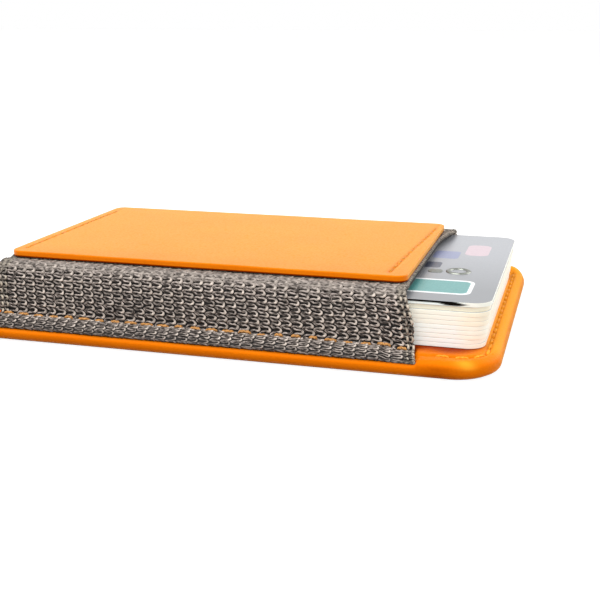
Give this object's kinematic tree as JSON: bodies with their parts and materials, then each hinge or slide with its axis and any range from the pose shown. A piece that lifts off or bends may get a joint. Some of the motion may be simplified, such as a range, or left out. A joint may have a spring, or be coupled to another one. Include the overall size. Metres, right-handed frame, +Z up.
{
  "type": "magnetic card holder",
  "caption": "Flat leather card holder with a woven elastic sleeve between two panels, magnets in the back panel and sliding cards.",
  "frame": {"origin": "centre of the back panel's underside, the face that lies on a table or holds to a phone", "axes": "+X towards the mouth where the cards come out, +Y across the holder, +Z up from the back panel to the front panel"},
  "size_m": [0.097, 0.0694, 0.0144],
  "materials": {
    "leather": "fine-grain, semi-gloss",
    "lining": "smooth woven lining",
    "elastic": "woven elastic webbing",
    "band_thread": "twisted polyester thread",
    "leather_thread": "twisted polyester thread",
    "board": "pressed fibre board",
    "magnet": "nickel plated",
    "steel": "cold rolled",
    "card_face": "satin laminate",
    "card_body": "satin laminate"
  },
  "bodies": {
    "holder": {"back_bottom_leather": "leather", "back_top_leather": "leather", "back_board": "board", "alignment_magnet": "magnet", "shield_ring": "steel", "magnet_01": "magnet", "magnet_02": "magnet", "magnet_03": "magnet", "magnet_04": "magnet", "magnet_05": "magnet", "magnet_06": "magnet", "magnet_07": "magnet", "magnet_08": "magnet", "magnet_09": "magnet", "magnet_10": "magnet", "magnet_11": "magnet", "magnet_12": "magnet", "elastic_band": "elastic", "edge_stitching": "leather_thread", "band_stitching_near": "band_thread", "band_stitching_far": "band_thread"},
    "front": {"front_skin": "leather", "front_board": "board", "front_lining": "lining", "front_stitching_mouth": "leather_thread", "front_stitching_rear": "leather_thread"},
    "card_01": {"card_01": "card_face"},
    "card_02": {"card_02": "card_body"},
    "card_03": {"card_03": "card_body"},
    "card_04": {"card_04": "card_body"},
    "card_05": {"card_05": "card_body"},
    "card_06": {"card_06": "card_body"},
    "card_07": {"card_07": "card_body"},
    "card_08": {"card_08": "card_body"},
    "card_09": {"card_09": "card_body"},
    "card_10": {"card_10": "card_body"}
  },
  "joints": [
    {"name": "front_lift", "type": "slide", "parent": "holder", "child": "front", "axis": [0, 0, 1], "range_m": [0, 0.003], "stiffness_N_per_m": 400, "springref_m": -0.004, "deforming": ["elastic_band"]},
    {"name": "card_01_slide", "type": "slide", "parent": "holder", "child": "card_01", "axis": [1, 0, 0], "range_m": [-0.004, 0.08]},
    {"name": "card_02_slide", "type": "slide", "parent": "holder", "child": "card_02", "axis": [1, 0, 0], "range_m": [-0.004, 0.08]},
    {"name": "card_03_slide", "type": "slide", "parent": "holder", "child": "card_03", "axis": [1, 0, 0], "range_m": [-0.004, 0.08]},
    {"name": "card_04_slide", "type": "slide", "parent": "holder", "child": "card_04", "axis": [1, 0, 0], "range_m": [-0.004, 0.08]},
    {"name": "card_05_slide", "type": "slide", "parent": "holder", "child": "card_05", "axis": [1, 0, 0], "range_m": [-0.004, 0.08]},
    {"name": "card_06_slide", "type": "slide", "parent": "holder", "child": "card_06", "axis": [1, 0, 0], "range_m": [-0.004, 0.08]},
    {"name": "card_07_slide", "type": "slide", "parent": "holder", "child": "card_07", "axis": [1, 0, 0], "range_m": [-0.004, 0.08]},
    {"name": "card_08_slide", "type": "slide", "parent": "holder", "child": "card_08", "axis": [1, 0, 0], "range_m": [-0.004, 0.08]},
    {"name": "card_09_slide", "type": "slide", "parent": "holder", "child": "card_09", "axis": [1, 0, 0], "range_m": [-0.004, 0.08]},
    {"name": "card_10_slide", "type": "slide", "parent": "holder", "child": "card_10", "axis": [1, 0, 0], "range_m": [-0.004, 0.08]}
  ]
}
